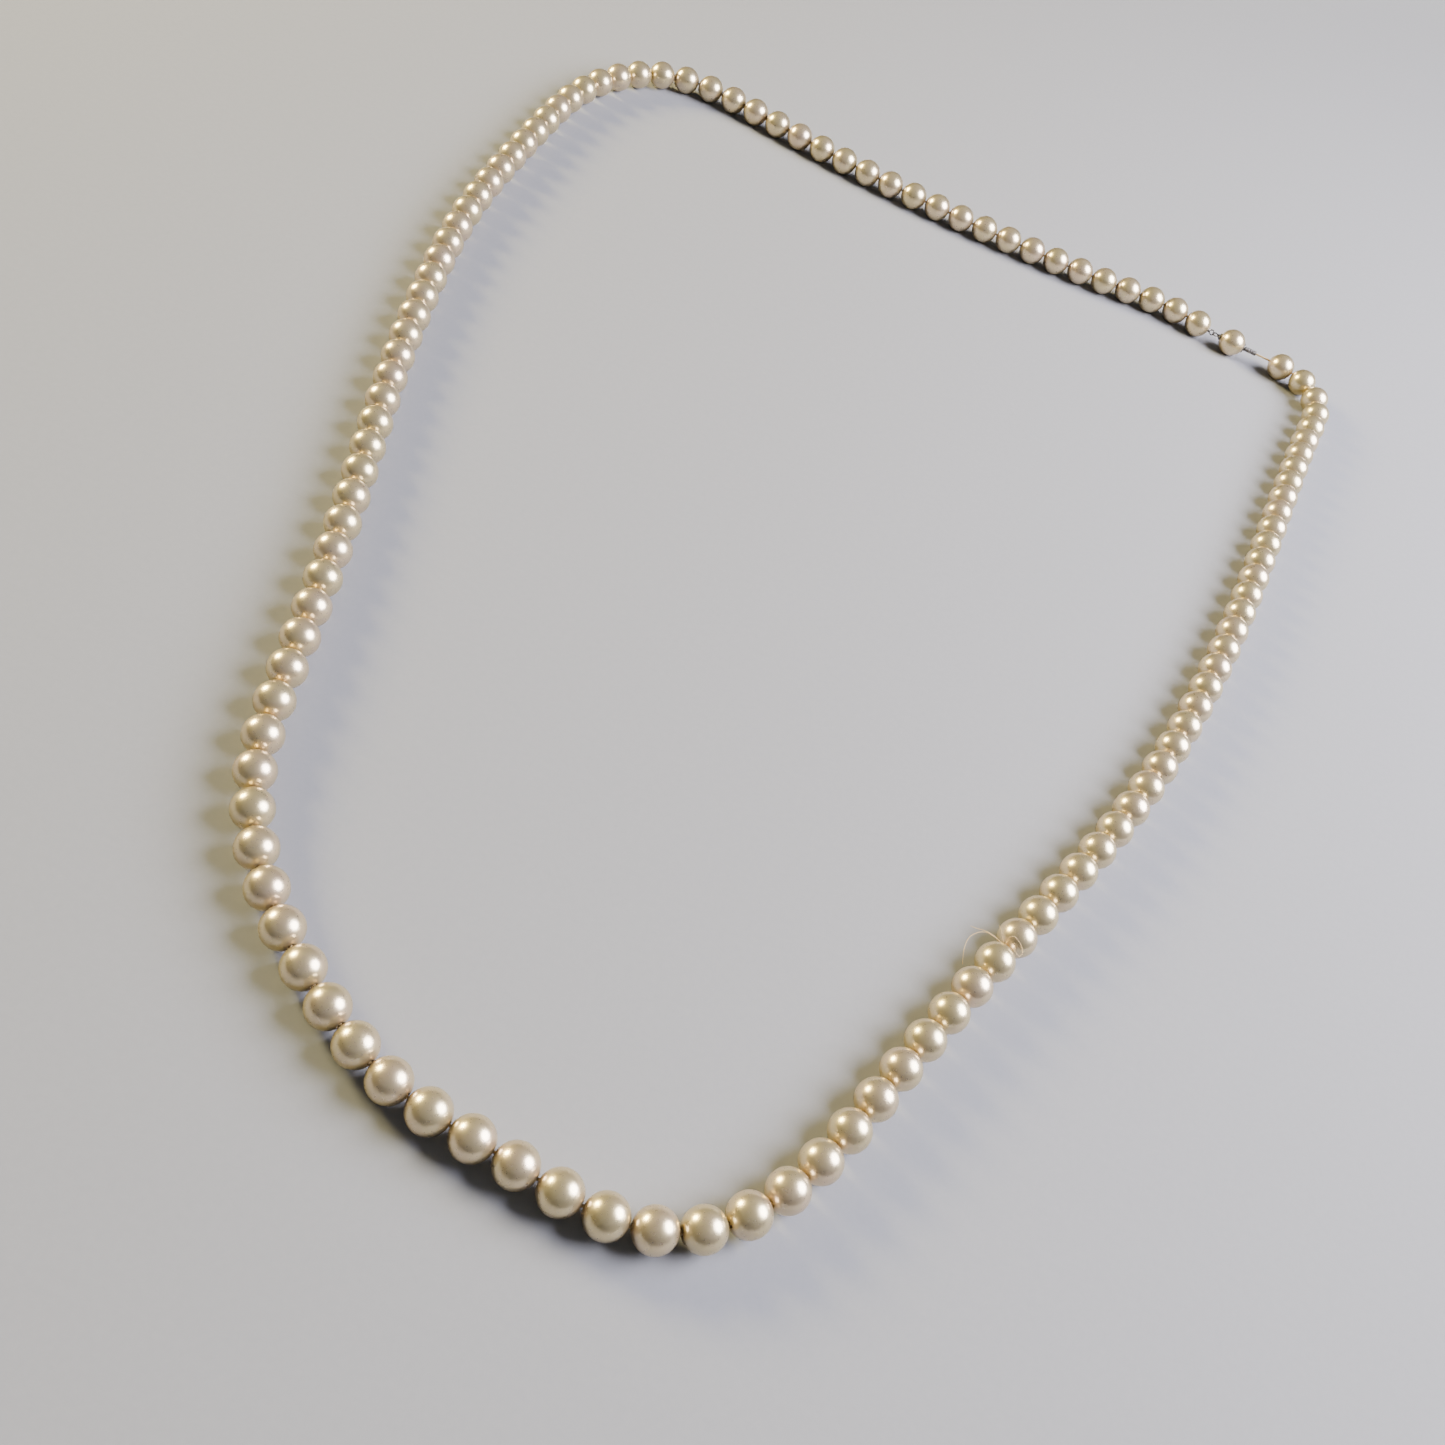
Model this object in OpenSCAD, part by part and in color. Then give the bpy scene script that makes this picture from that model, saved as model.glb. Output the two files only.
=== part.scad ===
// Pearl necklace: one strand of imitation pearls on a thread, closed by a pearl ball clasp.
// The strand lies flat in an open loop. +Z is up, Z = 0 is the surface it lies on.
// +Y points to the back of the loop, where the clasp is, and +X to the right.

/* [Pearls] */
// Diameter of every pearl, mm
pearl_d = 6.0; // [4:0.5:10]
// Drill hole through a strand pearl, mm
bore_d = 0.9; // [0.7:0.05:1.4]
// Free thread between two neighbouring pearls, mm
pearl_gap = 0.15; // [0.15:0.01:0.2]
// Free thread between the loose last pearls beside the clasp, mm
loose_gap = 0.35; // [0.3:0.05:0.5]

/* [Thread] */
// Thread diameter, mm
thread_d = 0.5; // [0.3:0.05:0.6]
// Length the thread stops short of a bending point, mm
thread_relief = 0.06; // [0.06:0.01:0.07]

/* [Clasp] */
// Bare length between the strand and the clasp pearl, on the ring side, mm
ring_side_gap = 3.0; // [2.8:0.1:4]
// Wire diameter of the ring on the clasp pearl, mm
ring_wire_d = 0.3; // [0.25:0.05:0.4]
// Wire diameter of the loop on the strand's end, mm
loop_wire_d = 0.25; // [0.2:0.05:0.3]
// Radius of the ring, to the middle of its wire, mm
ring_r = 0.65; // [0.6:0.05:0.8]
// Radius of the loop, to the middle of its wire, mm
loop_r = 0.6; // [0.55:0.05:0.7]
// Play between ring wire and loop wire, mm
link_play = 0.04; // [0.02:0.01:0.1]
// Inside diameter of the socket in the clasp pearl, mm
socket_id = 1.5; // [1.4:0.05:1.6]
// Width of the tongue, mm
tongue_w = 1.0; // [0.8:0.05:1.1]
// Thickness of the tongue's strip, mm
tongue_t = 0.2; // [0.15:0.01:0.22]
// Travel that frees the tongue from the socket, mm
tongue_travel = 2.7; // [2.5:0.1:2.7]
// Outside diameter of the end tube on the tongue, mm
tube_od = 1.1; // [1.0:0.05:1.4]
// Bore of the end tube, mm
tube_id = 0.75; // [0.7:0.05:0.8]

/* [Quality] */
// Facets around round parts in the preview
round_fn = 48; // [24:8:96]

/* [Hidden] */
$fn = round_fn;

pearl_r = pearl_d / 2;
pitch = pearl_d + pearl_gap;
loose_pitch = pearl_d + loose_gap;

// Pearls 0 to 118 run from the clasp's ring side round the loop to its tongue side.
pearl_count = 119;
// From this pearl on the strand is loosely strung.
loose_from = 114;

// The line the strand lies along, as rounded millimetres for a 6.15 mm pitch.
route_pitch = 6.15;
route = [
  [64, 122], [56, 125], [45, 124], [31, 122], [-13, 122], [-37, 125],
  [-54, 128], [-66, 130], [-76, 129], [-84, 122], [-90, 110], [-92, 97],
  [-92, 82], [-92, 48], [-88, 24], [-82, -4], [-76, -25], [-70, -46],
  [-64, -70], [-60, -90], [-54, -102], [-44, -113], [-30, -122], [-20, -127],
  [-5, -128], [10, -131], [22, -127], [31, -115], [37, -98], [47, -73],
  [62, -40], [71, -12], [79, 24], [85, 64], [90, 96], [93, 108],
  [92, 115], [87, 120], [79, 121], [72, 121]
];

// Smooth curve near the route points (uniform cubic B-spline, ends held).
samples = 14;
last_pt = len(route) - 1;
function held(i) = route[max(0, min(last_pt, i))] * (pitch / route_pitch);
function blend_pt(a, b, c, d, t) =
  (pow(1 - t, 3) * a
  + (3 * t * t * t - 6 * t * t + 4) * b
  + (-3 * t * t * t + 3 * t * t + 3 * t + 1) * c
  + t * t * t * d) / 6;
curve = [
  for (i = [-1 : last_pt])
    for (j = [0 : samples - 1])
      blend_pt(held(i - 1), held(i), held(i + 1), held(i + 2), j / samples),
  held(last_pt)
];

// Where a step of length s from p crosses the curve's piece a to b.
function cross_pt(a, b, p, s) =
  let (
    d = b - a,
    f = a - p,
    qa = d * d,
    qb = 2 * (f * d),
    qc = f * f - s * s
  )
  a + d * ((-qb + sqrt(qb * qb - 4 * qa * qc)) / (2 * qa));

// First curve point at least s away from p, from index j on.
function reach(p, j, s) = norm(curve[j] - p) >= s ? j : reach(p, j + 1, s);

// Length of thread that pearl k takes up.
function step_of(k) = k >= loose_from ? loose_pitch : pitch;

// Walks along the curve in pearl steps, and gives the points between pearls.
function walk(p, i, k, acc) =
  k == pearl_count ? acc :
  let (
    j = reach(p, i + 1, step_of(k)),
    q = cross_pt(curve[j - 1], curve[j], p, step_of(k))
  )
  walk(q, j - 1, k + 1, concat(acc, [q]));
knots_raw = walk(curve[0], 0, 0, [curve[0]]);

// Middle of the outline, which is put on the origin.
mids_raw = [for (k = [0 : pearl_count - 1]) (knots_raw[k] + knots_raw[k + 1]) / 2];
xs = [for (m = mids_raw) m[0]];
ys = [for (m = mids_raw) m[1]];
middle = [(min(xs) + max(xs)) / 2, (min(ys) + max(ys)) / 2];
knots = [for (p = knots_raw) p - middle];

function unit(v) = v / norm(v);
function heading(v) = atan2(v[1], v[0]);
function along(k) = unit(knots[k + 1] - knots[k]);
function pearl_at(k) = (knots[k] + knots[k + 1]) / 2;

// Clasp stations. The pin point is where the loop's wire stands in the ring.
end_dir = -along(0);
plug_l = 0.3;
pin_off = plug_l - 0.05 + 2 * loop_r;
pin_pt = knots[0] + end_dir * pin_off;
clasp_vec = knots[pearl_count] - pin_pt;
clasp_dir = unit(clasp_vec);
clasp_turn = heading(clasp_dir);
wires_apart = (ring_wire_d + loop_wire_d) / 2 + link_play;
ring_mid = ring_r - wires_apart;
shell_mid = ring_side_gap + pearl_gap / 2 - pin_off + pearl_r;

// Stations along the clasp's axis, from the middle of the clasp pearl.
mouth_x = pearl_r + 0.05;
tube_x = pearl_r + 0.3;
tube_l = tongue_travel + 0.2;
tube_floor = 0.2;
tube_end = tube_x + tube_l;
stub_clear = 0.15;
stub_from = shell_mid + tube_end + stub_clear;

// Which piece to show

// ---- shared shapes ----

// Bead with a straight drill hole, placed on the strand.
module pearl(k) {
  translate([pearl_at(k)[0], pearl_at(k)[1], pearl_r])
    rotate([0, 0, heading(along(k))])
      rotate([0, 90, 0])
        difference() {
          sphere(d = pearl_d);
          cylinder(d = bore_d, h = pearl_d + 1, center = true);
        }
}

// Pearls a to b of the strand.
module pearl_run(a, b) {
  for (k = [a : b])
    pearl(k);
}

// Sideways direction at point i of a flat path, stretched at a bend.
function side_of(path, i) =
  let (
    n = len(path) - 1,
    u = unit(path[max(1, i)] - path[max(1, i) - 1]),
    v = unit(path[min(n, i + 1)] - path[min(n, i + 1) - 1]),
    m = unit(u + v)
  )
  [-m[1], m[0]] / (m * u);

// Round thread of radius r along a flat path, its middle at pearl height.
cord_sides = 8;
module cord(path, r) {
  n = len(path);
  s = cord_sides;
  pts = [
    for (i = [0 : n - 1])
      for (j = [0 : s - 1])
        let (a = 360 * (j + 0.5) / s, w = side_of(path, i) * r * cos(a))
        [path[i][0] + w[0], path[i][1] + w[1], pearl_r + r * sin(a)]
  ];
  walls = [
    for (i = [0 : n - 2])
      for (j = [0 : s - 1])
        let (k = (j + 1) % s)
        [i * s + j, (i + 1) * s + j, (i + 1) * s + k, i * s + k]
  ];
  start_cap = [for (j = [0 : s - 1]) j];
  end_cap = [for (j = [s - 1 : -1 : 0]) (n - 1) * s + j];
  polyhedron(points = pts, faces = concat([start_cap], walls, [end_cap]));
}

// Thread through pearls a to b, stopping just short of the bending points.
module thread_run(a, b) {
  first = knots[a] + along(a) * thread_relief;
  final = knots[b + 1] - along(b) * thread_relief;
  inner = [for (k = [a + 1 : b]) knots[k]];
  cord(concat([first], inner, [final]), thread_d / 2);
}

// Puts a clasp shape, drawn along +X from the pin point, in its place.
module on_clasp() {
  translate([pin_pt[0], pin_pt[1], pearl_r])
    rotate([0, 0, clasp_turn])
      children();
}

// Same, measured from the middle of the clasp pearl.
module on_shell() {
  on_clasp()
    translate([shell_mid, 0, 0])
      children();
}

// Round post along +Z from z0 to z1.
module post(z0, z1, d) {
  translate([0, 0, z0])
    cylinder(d = d, h = z1 - z0);
}

// Round bar along +X from x0 to x1.
module bar(x0, x1, d) {
  rotate([0, 90, 0])
    post(x0, x1, d);
}

// Ring of round wire, flat in XY.
module wire_ring(r, d) {
  rotate_extrude()
    translate([r, 0])
      circle(d = d);
}

// ---- strand pieces ----

// Pearls, middle of the strand, opposite the clasp.
module pearls_middle() {
  color("#eadfc6")
    pearl_run(56, 62);
}

// Thread of the same run.
module thread_middle() {
  color("#4a4238")
    thread_run(56, 62);
}

// Pearls, run 1 of the left half, counted from the middle.
module pearls_left_01() {
  color("#eadfc6")
    pearl_run(51, 55);
}

// Thread of the same run.
module thread_left_01() {
  color("#4a4238")
    thread_run(51, 55);
}

// Pearls, run 2 of the left half, counted from the middle.
module pearls_left_02() {
  color("#eadfc6")
    pearl_run(46, 50);
}

// Thread of the same run.
module thread_left_02() {
  color("#4a4238")
    thread_run(46, 50);
}

// Pearls, run 3 of the left half, counted from the middle.
module pearls_left_03() {
  color("#eadfc6")
    pearl_run(41, 45);
}

// Thread of the same run.
module thread_left_03() {
  color("#4a4238")
    thread_run(41, 45);
}

// Pearls, run 4 of the left half, counted from the middle.
module pearls_left_04() {
  color("#eadfc6")
    pearl_run(36, 40);
}

// Thread of the same run.
module thread_left_04() {
  color("#4a4238")
    thread_run(36, 40);
}

// Pearls, run 5 of the left half, counted from the middle.
module pearls_left_05() {
  color("#eadfc6")
    pearl_run(31, 35);
}

// Thread of the same run.
module thread_left_05() {
  color("#4a4238")
    thread_run(31, 35);
}

// Pearls, run 6 of the left half, counted from the middle.
module pearls_left_06() {
  color("#eadfc6")
    pearl_run(26, 30);
}

// Thread of the same run.
module thread_left_06() {
  color("#4a4238")
    thread_run(26, 30);
}

// Pearls, run 7 of the left half, counted from the middle.
module pearls_left_07() {
  color("#eadfc6")
    pearl_run(21, 25);
}

// Thread of the same run.
module thread_left_07() {
  color("#4a4238")
    thread_run(21, 25);
}

// Pearls, run 8 of the left half, counted from the middle.
module pearls_left_08() {
  color("#eadfc6")
    pearl_run(16, 20);
}

// Thread of the same run.
module thread_left_08() {
  color("#4a4238")
    thread_run(16, 20);
}

// Pearls, run 9 of the left half, counted from the middle.
module pearls_left_09() {
  color("#eadfc6")
    pearl_run(11, 15);
}

// Thread of the same run.
module thread_left_09() {
  color("#4a4238")
    thread_run(11, 15);
}

// Pearls, run 10 of the left half, counted from the middle.
module pearls_left_10() {
  color("#eadfc6")
    pearl_run(6, 10);
}

// Thread of the same run.
module thread_left_10() {
  color("#4a4238")
    thread_run(6, 10);
}

// Pearls, run 11 of the left half, counted from the middle.
module pearls_left_11() {
  color("#eadfc6")
    pearl_run(0, 5);
}

// Thread of the same run. It ends inside the crimp of the end loop.
module thread_left_11() {
  first = knots[0] + along(0) * 0.2;
  final = knots[6] - along(5) * thread_relief;
  inner = [for (k = [0 + 1 : 5]) knots[k]];
  color("#4a4238")
    cord(concat([first], inner, [final]), thread_d / 2);
}

// Pearls, run 1 of the right half, counted from the middle.
module pearls_right_01() {
  color("#eadfc6")
    pearl_run(63, 67);
}

// Thread of the same run.
module thread_right_01() {
  color("#4a4238")
    thread_run(63, 67);
}

// Pearls, run 2 of the right half, counted from the middle.
module pearls_right_02() {
  color("#eadfc6")
    pearl_run(68, 72);
}

// Thread of the same run.
module thread_right_02() {
  color("#4a4238")
    thread_run(68, 72);
}

// Pearls, run 3 of the right half, counted from the middle.
module pearls_right_03() {
  color("#eadfc6")
    pearl_run(73, 77);
}

// Thread of the same run.
module thread_right_03() {
  color("#4a4238")
    thread_run(73, 77);
}

// Pearls, run 4 of the right half, counted from the middle.
module pearls_right_04() {
  color("#eadfc6")
    pearl_run(78, 82);
}

// Thread of the same run.
module thread_right_04() {
  color("#4a4238")
    thread_run(78, 82);
}

// Pearls, run 5 of the right half, counted from the middle.
module pearls_right_05() {
  color("#eadfc6")
    pearl_run(83, 87);
}

// Thread of the same run.
module thread_right_05() {
  color("#4a4238")
    thread_run(83, 87);
}

// Pearls, run 6 of the right half, counted from the middle.
module pearls_right_06() {
  color("#eadfc6")
    pearl_run(88, 92);
}

// Thread of the same run.
module thread_right_06() {
  color("#4a4238")
    thread_run(88, 92);
}

// Pearls, run 7 of the right half, counted from the middle.
module pearls_right_07() {
  color("#eadfc6")
    pearl_run(93, 97);
}

// Thread of the same run.
module thread_right_07() {
  color("#4a4238")
    thread_run(93, 97);
}

// Pearls, run 8 of the right half, counted from the middle.
module pearls_right_08() {
  color("#eadfc6")
    pearl_run(98, 102);
}

// Thread of the same run.
module thread_right_08() {
  color("#4a4238")
    thread_run(98, 102);
}

// Pearls, run 9 of the right half, counted from the middle.
module pearls_right_09() {
  color("#eadfc6")
    pearl_run(103, 107);
}

// Thread of the same run.
module thread_right_09() {
  color("#4a4238")
    thread_run(103, 107);
}

// Pearls, run 10 of the right half, counted from the middle.
module pearls_right_10() {
  color("#eadfc6")
    pearl_run(108, 112);
}

// Thread of the same run.
module thread_right_10() {
  color("#4a4238")
    thread_run(108, 112);
}

// Pearls, run 11 of the right half, counted from the middle.
module pearls_right_11() {
  color("#eadfc6")
    pearl_run(113, 118);
}

// Thread of the same run. Its bare end points at the clasp's end tube.
module thread_right_11() {
  first = knots[113] + along(113) * thread_relief;
  tip = pin_pt + clasp_dir * stub_from;
  inner = [for (k = [113 + 1 : 118 + 1]) knots[k]];
  color("#4a4238")
    cord(concat([first], inner, [tip]), thread_d / 2);
}

// ---- clasp pieces ----

// Wire loop on the strand's end, standing upright, with the crimp that grips the thread.
crimp_od = 0.8;
crimp_id = 0.55;
crimp_l = 1.1;
module end_loop() {
  color("#6b655b")
    translate([knots[0][0], knots[0][1], pearl_r])
      rotate([0, 0, heading(end_dir)])
        union() {
          difference() {
            bar(-crimp_l, plug_l, crimp_od);
            bar(-crimp_l - 1, 0, crimp_id);
          }
          translate([pin_off - loop_r, 0, 0])
            rotate([90, 0, 0])
              wire_ring(loop_r, loop_wire_d);
        }
}

// Ring of the clasp, lying flat, on a peg with a collar.
peg_d = 0.76;
collar_d = 1.5;
collar_sink = 0.12;
peg_sink = 1.2;
module clasp_ring() {
  color("#6b655b")
    on_clasp()
      union() {
        translate([ring_mid, 0, 0])
          wire_ring(ring_r, ring_wire_d);
        bar(ring_mid + ring_r, shell_mid - pearl_r + peg_sink, peg_d);
        bar(shell_mid - pearl_r - 0.28, shell_mid - pearl_r + collar_sink, collar_d);
      }
}

// Clasp pearl, bored for the peg on one side and the socket on the other.
fit = 0.02;
socket_wall = 0.18;
socket_back = -0.2;
mouth_d = 2.3;
mouth_sink = 0.3;
module clasp_pearl() {
  color("#eadfc6")
    on_shell()
      rotate([0, 90, 0])
        difference() {
          sphere(d = pearl_d);
          post(-pearl_r - 1, -pearl_r + peg_sink + fit, peg_d + 2 * fit);
          post(-pearl_r - 1, -pearl_r + collar_sink + fit, collar_d + 2 * fit);
          post(socket_back - fit, pearl_r + 1, socket_id + 2 * socket_wall + 2 * fit);
          post(pearl_r - mouth_sink - fit, pearl_r + 1, mouth_d + 2 * fit);
        }
}

// Socket cup lining the clasp pearl's bore.
module clasp_socket() {
  color("#6b655b")
    on_shell()
      difference() {
        bar(socket_back, pearl_r - mouth_sink - fit, socket_id + 2 * socket_wall);
        bar(socket_back + 0.15, pearl_r, socket_id);
      }
}

// Ring round the socket's mouth.
module clasp_mouth() {
  color("#6b655b")
    on_shell()
      difference() {
        bar(pearl_r - mouth_sink, mouth_x, mouth_d);
        bar(0, pearl_r + 1, socket_id - 0.2);
      }
}

// Tongue: a strip folded back on itself, its upper leaf rising towards the mouth.
tongue_tip = mouth_x + 0.05 - tongue_travel;
leaf_rise = 0.12;
module clasp_tongue() {
  lx = pearl_r - mouth_sink - 0.25;
  color("#6b655b")
    on_shell()
      rotate([90, 0, 0])
        linear_extrude(height = tongue_w, center = true)
          polygon([
            [tongue_tip, -0.3], [tube_x, -0.3],
            [tube_x, -0.3 + tongue_t], [tongue_tip + 0.2, -0.3 + tongue_t],
            [tongue_tip + 0.2, 0.02], [lx, 0.02 + leaf_rise],
            [lx, 0.02 + leaf_rise + tongue_t], [tongue_tip, 0.02 + tongue_t]
          ]);
}

// End tube on the tongue, which takes the other end of the thread.
module clasp_tube() {
  color("#6b655b")
    on_shell()
      difference() {
        bar(tube_x, tube_end, tube_od);
        bar(tube_x + tube_floor, tube_end + 1, tube_id);
      }
}

// ---- scene ----
pearls_middle();
thread_middle();
pearls_left_01();
thread_left_01();
pearls_left_02();
thread_left_02();
pearls_left_03();
thread_left_03();
pearls_left_04();
thread_left_04();
pearls_left_05();
thread_left_05();
pearls_left_06();
thread_left_06();
pearls_left_07();
thread_left_07();
pearls_left_08();
thread_left_08();
pearls_left_09();
thread_left_09();
pearls_left_10();
thread_left_10();
pearls_left_11();
thread_left_11();
pearls_right_01();
thread_right_01();
pearls_right_02();
thread_right_02();
pearls_right_03();
thread_right_03();
pearls_right_04();
thread_right_04();
pearls_right_05();
thread_right_05();
pearls_right_06();
thread_right_06();
pearls_right_07();
thread_right_07();
pearls_right_08();
thread_right_08();
pearls_right_09();
thread_right_09();
pearls_right_10();
thread_right_10();
pearls_right_11();
thread_right_11();
end_loop();
clasp_ring();
clasp_pearl();
clasp_socket();
clasp_mouth();
clasp_tongue();
clasp_tube();
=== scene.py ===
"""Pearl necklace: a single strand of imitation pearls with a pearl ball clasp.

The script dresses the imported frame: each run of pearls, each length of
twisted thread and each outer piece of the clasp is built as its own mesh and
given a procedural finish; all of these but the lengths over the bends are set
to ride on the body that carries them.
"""

from __future__ import annotations

import logging
import math
from dataclasses import dataclass, field
from enum import Enum
from typing import Any, Iterator, Sequence

import bpy
import numpy as np
from mathutils import Matrix, Vector

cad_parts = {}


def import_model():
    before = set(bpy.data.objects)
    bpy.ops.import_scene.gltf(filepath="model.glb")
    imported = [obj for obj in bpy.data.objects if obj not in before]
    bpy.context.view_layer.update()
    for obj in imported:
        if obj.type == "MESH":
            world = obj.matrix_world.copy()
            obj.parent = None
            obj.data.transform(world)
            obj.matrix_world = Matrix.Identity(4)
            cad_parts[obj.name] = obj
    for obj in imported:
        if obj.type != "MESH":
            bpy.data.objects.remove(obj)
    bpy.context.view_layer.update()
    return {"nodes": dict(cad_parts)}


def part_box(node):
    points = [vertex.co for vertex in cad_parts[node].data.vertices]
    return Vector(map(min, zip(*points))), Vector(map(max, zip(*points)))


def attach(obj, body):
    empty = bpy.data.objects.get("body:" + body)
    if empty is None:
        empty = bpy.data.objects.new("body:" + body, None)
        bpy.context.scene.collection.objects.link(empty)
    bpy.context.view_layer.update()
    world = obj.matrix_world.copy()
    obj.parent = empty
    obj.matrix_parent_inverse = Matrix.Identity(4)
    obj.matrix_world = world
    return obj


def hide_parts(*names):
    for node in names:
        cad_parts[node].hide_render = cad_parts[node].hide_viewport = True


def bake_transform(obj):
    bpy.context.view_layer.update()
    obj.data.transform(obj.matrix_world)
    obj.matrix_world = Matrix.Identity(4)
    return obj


LOG = logging.getLogger("necklace")
MM = 0.001
Point = np.ndarray
Colour = tuple[float, float, float, float]
Socket = bpy.types.NodeSocket
Material = bpy.types.Material


class Slot(Enum):
    """Names of the material slots."""

    PEARL = "pearl"
    THREAD = "thread"
    METAL = "clasp_metal"


class Half(Enum):
    """The two halves of the strand, seen from its middle."""

    LEFT = "left"
    RIGHT = "right"


# ---- finishes


class Signal:
    """A number travelling through a material, with Python's operators on it."""

    def __init__(self, bench: "Bench", socket: Socket) -> None:
        """Wraps one output socket of a node on a bench."""
        self.bench = bench
        self.socket = socket

    def _join(self, operation: str, first: Any, second: Any) -> "Signal":
        """Adds one Math node.

        Args:
            operation: the Math node's operation.
            first: its first value or signal.
            second: its second value or signal.

        Returns:
            The node's result.
        """
        node = self.bench.add(
            "ShaderNodeMath", {"operation": operation}, {0: first, 1: second}
        )
        return Signal(self.bench, node.outputs[0])

    def __add__(self, other: Any) -> "Signal":
        """self + other."""
        return self._join("ADD", self, other)

    def __radd__(self, other: Any) -> "Signal":
        """other + self."""
        return self._join("ADD", other, self)

    def __sub__(self, other: Any) -> "Signal":
        """self - other."""
        return self._join("SUBTRACT", self, other)

    def __rsub__(self, other: Any) -> "Signal":
        """other - self."""
        return self._join("SUBTRACT", other, self)

    def __mul__(self, other: Any) -> "Signal":
        """self * other."""
        return self._join("MULTIPLY", self, other)

    def __rmul__(self, other: Any) -> "Signal":
        """other * self."""
        return self._join("MULTIPLY", other, self)

    def at_least(self, other: Any) -> "Signal":
        """The larger of self and other."""
        return self._join("MAXIMUM", self, other)

    def at_most(self, other: Any) -> "Signal":
        """The smaller of self and other."""
        return self._join("MINIMUM", self, other)


class Bench:
    """A material being put together, node by node."""

    def __init__(self, name: str) -> None:
        """Starts an empty material with its output node."""
        self.material = bpy.data.materials.new(name)
        self.material.use_nodes = True
        self.tree = self.material.node_tree
        self.tree.nodes.clear()
        self.output = self.tree.nodes.new("ShaderNodeOutputMaterial")

    def add(
        self, kind: str, settings: dict[str, Any], sockets: dict[Any, Any]
    ) -> bpy.types.Node:
        """Adds one node.

        Args:
            kind: the node's type.
            settings: its properties, set first. A ramp's stops go under
                "stops" as (position, colour) pairs.
            sockets: values, signals or output sockets for its inputs.

        Returns:
            The node.
        """
        node = self.tree.nodes.new(kind)
        for key, value in settings.items():
            if key == "stops":
                ramp = node.color_ramp
                while len(ramp.elements) < len(value):
                    ramp.elements.new(0.5)
                for element, (place, colour) in zip(ramp.elements, value):
                    element.position = place
                    element.color = colour
            else:
                setattr(node, key, value)
        for key, value in sockets.items():
            if isinstance(value, Signal):
                self.tree.links.new(value.socket, node.inputs[key])
            elif isinstance(value, Socket):
                self.tree.links.new(value, node.inputs[key])
            else:
                node.inputs[key].default_value = value
        return node

    def place(self) -> Socket:
        """The piece's own coordinates, in metres."""
        return self.add("ShaderNodeTexCoord", {}, {}).outputs["Object"]

    def noise(self, scale: float, detail: float, rough: float = 0.5) -> Signal:
        """Cloudy noise over the piece.

        Args:
            scale: how many features there are in a metre.
            detail: the number of finer layers.
            rough: how strong the finer layers are.

        Returns:
            A signal from about 0 to 1.
        """
        node = self.add(
            "ShaderNodeTexNoise",
            {"noise_dimensions": "3D"},
            {
                "Vector": self.place(),
                "Scale": scale,
                "Detail": detail,
                "Roughness": rough,
            },
        )
        return Signal(self, node.outputs["Fac"])

    def cells(self, scale: float) -> Signal:
        """Distance to scattered points over the piece, for pits and specks."""
        node = self.add(
            "ShaderNodeTexVoronoi", {}, {"Vector": self.place(), "Scale": scale}
        )
        return Signal(self, node.outputs["Distance"])

    def stored(self, name: str) -> Signal:
        """A value that the mesh stores at its points."""
        node = self.add("ShaderNodeAttribute", {"attribute_name": name}, {})
        return Signal(self, node.outputs["Fac"])

    def between(self, share: Any, low: Any, high: Any) -> Socket:
        """Mixes two colours.

        Args:
            share: how much of the second colour shows, 0 to 1.
            low: the first colour.
            high: the second colour.

        Returns:
            The mixed colour.
        """
        node = self.add(
            "ShaderNodeMix",
            {"data_type": "RGBA", "clamp_factor": True},
            {0: share, 6: low, 7: high},
        )
        return node.outputs[2]

    def relief(self, height: Signal, depth: float, strength: float) -> Socket:
        """Turns a height into a Normal.

        Args:
            height: the height, 0 to 1.
            depth: what a height of 1 stands for, in metres.
            strength: how much of it is applied.

        Returns:
            The Normal socket.
        """
        node = self.add(
            "ShaderNodeBump",
            {},
            {"Height": height, "Distance": depth, "Strength": strength},
        )
        return node.outputs["Normal"]

    def finish(self, sockets: dict[str, Any]) -> Material:
        """Closes the material with its one shader.

        Args:
            sockets: the shader's values and links.

        Returns:
            The material.
        """
        shader = self.add("ShaderNodeBsdfPrincipled", {}, sockets)
        self.tree.links.new(shader.outputs[0], self.output.inputs["Surface"])
        return self.material


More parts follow.
